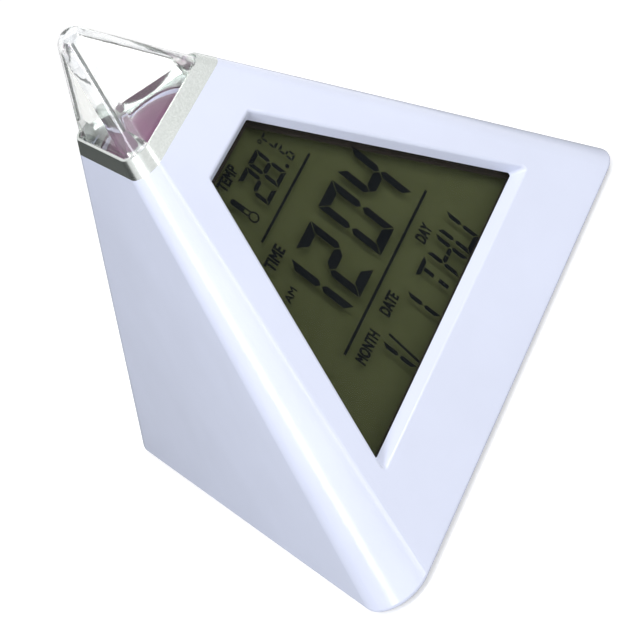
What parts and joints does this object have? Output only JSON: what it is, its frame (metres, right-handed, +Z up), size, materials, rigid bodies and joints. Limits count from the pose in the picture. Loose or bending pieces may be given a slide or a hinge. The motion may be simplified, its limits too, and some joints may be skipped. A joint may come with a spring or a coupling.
{
  "type": "digital clock",
  "caption": "Pyramid desk clock with a sunk display in its front face, a clear press-down tip on a silver collar, and a hinged battery door and setting keys underneath.",
  "frame": {"origin": "on the table, under the middle of the clock's outline", "axes": "+X to the right as the display is read, +Y to the back, +Z up"},
  "size_m": [0.1054, 0.093, 0.0898],
  "materials": {
    "shell_white": "glossy lavender-white moulded plastic",
    "collar_silver": "fine-grained satin silver",
    "tip_clear": "polished clear plastic",
    "lens_mauve": "mauve tinted lens",
    "display_glass": "clear pane with a faint green cast",
    "display_reflector": "olive grey reflecting film",
    "frame_plastic": "plain white moulding",
    "connector_rubber": "striped rubber connector",
    "foot_rubber": "soft grey rubber",
    "board_laminate": "green lacquered board",
    "black_plastic": "black moulded plastic",
    "switch_plastic": "black switch button",
    "lamp_resin": "milky clear resin",
    "plated_metal": "nickel plated",
    "screw_steel": "zinc plated",
    "cell_jacket": "plain printed jacket with bare ends",
    "wire_cover": "grey wire covering",
    "key_plastic": "grey moulded plastic"
  },
  "bodies": {
    "housing": {"pyramid_shell": "shell_white", "base_cover": "shell_white", "tip_collar": "collar_silver", "lamp_diffuser": "lens_mauve", "lcd_front_glass": "display_glass", "lcd_rear_glass": "display_glass", "lcd_reflector": "display_reflector", "lcd_frame": "frame_plastic", "zebra_strip": "connector_rubber", "rubber_feet": "foot_rubber", "main_board": "board_laminate", "lamp_board": "board_laminate", "key_board": "board_laminate", "chip_blob": "black_plastic", "capacitors": "black_plastic", "thermistor": "black_plastic", "tip_switch": "black_plastic", "key_switches": "black_plastic", "buzzer": "black_plastic", "rgb_led": "lamp_resin", "crystal_can": "plated_metal", "negative_contact": "plated_metal", "positive_contact": "plated_metal", "link_contact": "plated_metal", "board_screws": "screw_steel", "lamp_screws": "screw_steel", "key_board_screws": "screw_steel", "base_screws": "screw_steel", "aaa_cells": "cell_jacket", "lamp_ribbon": "wire_cover", "key_ribbon": "wire_cover", "battery_leads": "wire_cover"},
    "tip": {"clear_tip": "tip_clear", "tip_switch_button": "switch_plastic"},
    "door": {"battery_door": "shell_white"},
    "mode_key": {"mode_key": "key_plastic", "mode_switch_button": "switch_plastic"},
    "set_key": {"set_key": "key_plastic", "set_switch_button": "switch_plastic"},
    "up_key": {"up_key": "key_plastic", "up_switch_button": "switch_plastic"},
    "down_key": {"down_key": "key_plastic", "down_switch_button": "switch_plastic"}
  },
  "joints": [
    {"name": "tip_press", "type": "slide", "parent": "housing", "child": "tip", "axis": [0, 0, -1], "range_m": [0, 0.001], "stiffness_N_per_m": 1500, "springref_m": -0.0004},
    {"name": "door_hinge", "type": "hinge", "parent": "housing", "child": "door", "pos_m": [0, -0.0329, 0.0013], "axis": [-1, 0, 0], "range_deg": [0, 75]},
    {"name": "mode_press", "type": "slide", "parent": "housing", "child": "mode_key", "axis": [0, 0, 1], "range_m": [0, 0.0006], "stiffness_N_per_m": 1500, "springref_m": -0.0003},
    {"name": "set_press", "type": "slide", "parent": "housing", "child": "set_key", "axis": [0, 0, 1], "range_m": [0, 0.0006], "stiffness_N_per_m": 1500, "springref_m": -0.0003},
    {"name": "up_press", "type": "slide", "parent": "housing", "child": "up_key", "axis": [0, 0, 1], "range_m": [0, 0.0006], "stiffness_N_per_m": 1500, "springref_m": -0.0003},
    {"name": "down_press", "type": "slide", "parent": "housing", "child": "down_key", "axis": [0, 0, 1], "range_m": [0, 0.0006], "stiffness_N_per_m": 1500, "springref_m": -0.0003}
  ]
}
